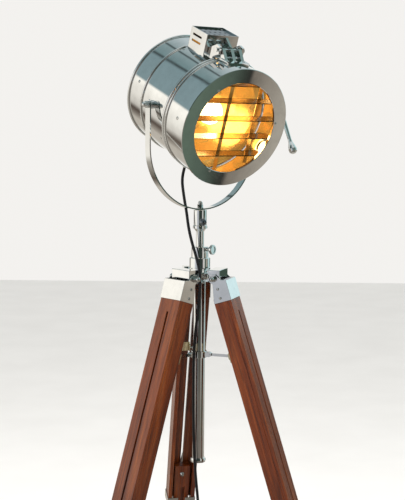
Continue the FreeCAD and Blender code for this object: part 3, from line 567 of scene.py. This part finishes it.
def room(world):
    """Pale room; mirrors see teal glass, dark frames and cream walls round the lamp."""
    world.use_nodes = True
    n = Nodes(world.node_tree)
    way = n.add("ShaderNodeTexCoord").outputs["Generated"]
    wobble = n.add("ShaderNodeTexNoise", {"Vector": way, "Scale": 2.2, "Detail": 2.0}).outputs["Color"]
    split = n.add("ShaderNodeSeparateXYZ", {"Vector": way})
    x, y, z = split.outputs
    around = n.maths("ARCTAN2", x, y)
    t = n.maths("ADD", n.maths("MULTIPLY", around, 1 / (2 * math.pi)), 0.5)
    shake = n.maths("MULTIPLY", n.maths("SUBTRACT", n.add(
        "ShaderNodeSeparateColor", {"Color": wobble}).outputs[0], 0.5), 0.05)
    t = n.maths("ADD", t, shake)
    level = n.ramp(t, [
        (0.00, (0.030, 0.045, 0.036)), (0.045, (0.05, 0.07, 0.055)), (0.06, (0.55, 0.55, 0.56)),
        (0.09, (0.42, 0.44, 0.47)), (0.13, (0.55, 0.56, 0.60)), (0.16, (1.05, 1.02, 0.96)),
        (0.30, (1.15, 1.10, 1.00)), (0.345, (0.60, 0.56, 0.50)), (0.36, (0.08, 0.06, 0.05)),
        (0.39, (0.07, 0.05, 0.045)), (0.405, (0.85, 0.82, 0.76)), (0.55, (0.95, 0.95, 0.92)),
        (0.585, (0.06, 0.09, 0.07)), (0.625, (0.05, 0.08, 0.06)), (0.645, (0.65, 0.80, 0.80)),
        (0.70, (0.50, 0.70, 0.70)), (0.735, (0.06, 0.09, 0.07)), (0.83, (0.045, 0.075, 0.06)),
        (0.85, (0.62, 0.60, 0.56)), (0.89, (0.70, 0.68, 0.64)), (0.91, (0.045, 0.05, 0.045)),
        (1.00, (0.030, 0.045, 0.036))])
    panes = n.ramp(t, [
        (0.00, (0.10, 0.15, 0.15)), (0.10, (0.30, 0.36, 0.38)), (0.20, (0.24, 0.32, 0.34)),
        (0.235, (0.03, 0.035, 0.04)), (0.25, (0.26, 0.35, 0.37)), (0.33, (0.22, 0.31, 0.33)),
        (0.345, (0.04, 0.05, 0.05)), (0.355, (0.19, 0.28, 0.29)), (0.42, (0.26, 0.35, 0.36)),
        (0.435, (0.03, 0.04, 0.04)), (0.445, (0.30, 0.38, 0.39)), (0.52, (0.55, 0.62, 0.64)),
        (0.62, (0.62, 0.82, 0.84)), (0.70, (0.45, 0.66, 0.66)), (0.80, (0.10, 0.14, 0.12)),
        (0.92, (0.16, 0.20, 0.18)), (1.00, (0.10, 0.15, 0.15))])
    below = n.ramp(t, [
        (0.00, (0.16, 0.14, 0.12)), (0.15, (0.44, 0.41, 0.36)), (0.30, (0.62, 0.58, 0.50)),
        (0.36, (0.12, 0.09, 0.07)), (0.40, (0.55, 0.50, 0.43)), (0.60, (0.50, 0.47, 0.42)),
        (0.78, (0.24, 0.21, 0.17)), (1.00, (0.16, 0.14, 0.12))])
    tilt = n.maths("ADD", z, n.maths("MULTIPLY", shake, 0.8))
    up = n.ramp(tilt, [(0.0, grey(0)), (0.30, grey(0)), (0.345, grey(1))])
    down = n.ramp(n.maths("MULTIPLY", tilt, -1.0), [(0.0, grey(0)), (0.16, grey(0)), (0.26, grey(1))])
    window = n.ramp(t, [(0.0, grey(0)), (0.572, grey(0)), (0.582, grey(1)), (0.622, grey(1)),
                        (0.632, grey(0))])
    above = n.ramp(tilt, [(0.0, grey(0)), (0.015, grey(0)), (0.04, grey(1))])
    level = n.mix(n.maths("MULTIPLY", window, above), level, (0.72, 0.92, 0.94))
    mirror = n.mix(up, level, panes)
    mirror = n.mix(down, mirror, below)
    ceiling = n.ramp(tilt, [(0.0, grey(0)), (0.86, grey(0)), (0.93, grey(1))])
    mirror = n.mix(ceiling, mirror, (0.62, 0.66, 0.66))
    path = n.add("ShaderNodeLightPath")
    soft = n.mix(path.outputs["Is Camera Ray"], (0.80, 0.80, 0.79), (0.90, 0.885, 0.86))
    colour = n.mix(path.outputs["Is Glossy Ray"], soft, mirror)
    back = n.add("ShaderNodeBackground", {"Color": colour, "Strength": 1.0})
    n.add("ShaderNodeOutputWorld", {"Surface": back.outputs[0]})


world = bpy.data.worlds.new("room")
bpy.context.scene.world = world
room(world)


# the bezel mirrors this card: dim green room on one side, beige floor on the other
CARD_AT = Vector((1.0238, -0.3921, 0.7886))
CARD_FACING = Vector((-0.8202, 0.1770, 0.5439))
CARD_ACROSS = (-0.3280, -0.9522, -0.1846)


def card_tones():
    """Glow that runs from beige to green across the card."""
    material, n = new_material("bezel_card")
    place = n.add("ShaderNodeTexCoord").outputs["Object"]
    offset = n.add("ShaderNodeVectorMath", {0: place, 1: CARD_AT}, operation="SUBTRACT").outputs[0]
    across = n.add("ShaderNodeVectorMath", {0: offset, 1: CARD_ACROSS},
                   operation="DOT_PRODUCT").outputs["Value"]
    across = n.maths("ADD", n.maths("MULTIPLY", across, 3.4), 0.5)
    tones = n.ramp(across, [
        (0.00, (0.42, 0.38, 0.32)), (0.22, (0.34, 0.30, 0.25)), (0.44, (0.22, 0.19, 0.155)),
        (0.49, (0.035, 0.035, 0.030)), (0.56, (0.035, 0.042, 0.034)), (0.68, (0.085, 0.115, 0.09)),
        (1.00, (0.12, 0.165, 0.125))])
    glow = n.add("ShaderNodeEmission", {"Color": tones, "Strength": 1.0})
    n.add("ShaderNodeOutputMaterial", {"Surface": glow.outputs[0]})
    return material


card = stage_plane("bezel_card", 0.8, along(CARD_FACING, CARD_AT), card_tones())
card.visible_camera = False
card.visible_diffuse = False
card.visible_shadow = False


def area_light(name, at, target, size, power, colour=(1, 1, 1), glossy=True):
    data = bpy.data.lights.new(name, "AREA")
    data.shape = "DISK"
    data.size = size
    data.energy = power
    data.color = colour
    o = bpy.data.objects.new(name, data)
    bpy.context.scene.collection.objects.link(o)
    o.location = at
    o.rotation_euler = (Vector(target) - Vector(at)).to_track_quat("-Z", "Y").to_euler()
    o.visible_glossy = glossy
    return o


area_light("key_left", (-1.9, -1.6, 2.4), (0, 0, 1.1), 1.2, 60, (1.0, 0.98, 0.95), False)
area_light("fill_right", (2.2, -1.6, 1.6), (0, 0, 1.0), 1.6, 26, (0.93, 0.97, 1.0), False)
area_light("top", (0.2, 0.4, 3.4), (0, 0, 1.0), 1.8, 40, (1, 1, 1), False)

def filament():
    """Warm light between the bulb and the louvre."""
    data = bpy.data.lights.new("filament", "POINT")
    data.energy = 2.2
    data.color = (1.0, 0.60, 0.22)
    data.shadow_soft_size = 0.02
    o = bpy.data.objects.new("filament", data)
    bpy.context.scene.collection.objects.link(o)
    o.location = HEAD @ Vector((0.082, 0, 0))
    o.visible_glossy = False


filament()


def camera():
    """Camera level with the head, a little over 2.7 m away and looking 6 degrees down."""
    pitch, yaw, roll = 0.1052, 0.00228, 0.00875
    forward = Vector((math.sin(yaw) * math.cos(pitch), math.cos(yaw) * math.cos(pitch),
                      -math.sin(pitch)))
    level = Vector((math.cos(yaw), -math.sin(yaw), 0))
    upward = level.cross(forward)
    up = upward * math.cos(roll) - level * math.sin(roll)
    right = level * math.cos(roll) + upward * math.sin(roll)
    data = bpy.data.cameras.new("camera")
    data.sensor_width = 36.0
    data.lens = 82.8
    o = bpy.data.objects.new("camera", data)
    bpy.context.scene.collection.objects.link(o)
    turn = Matrix((right, up, -forward)).transposed().to_4x4()
    o.matrix_world = Matrix.Translation((-0.0378, -2.7900, 1.4407)) @ turn
    bpy.context.scene.camera = o


camera()
bpy.context.scene.view_settings.view_transform = "Standard"
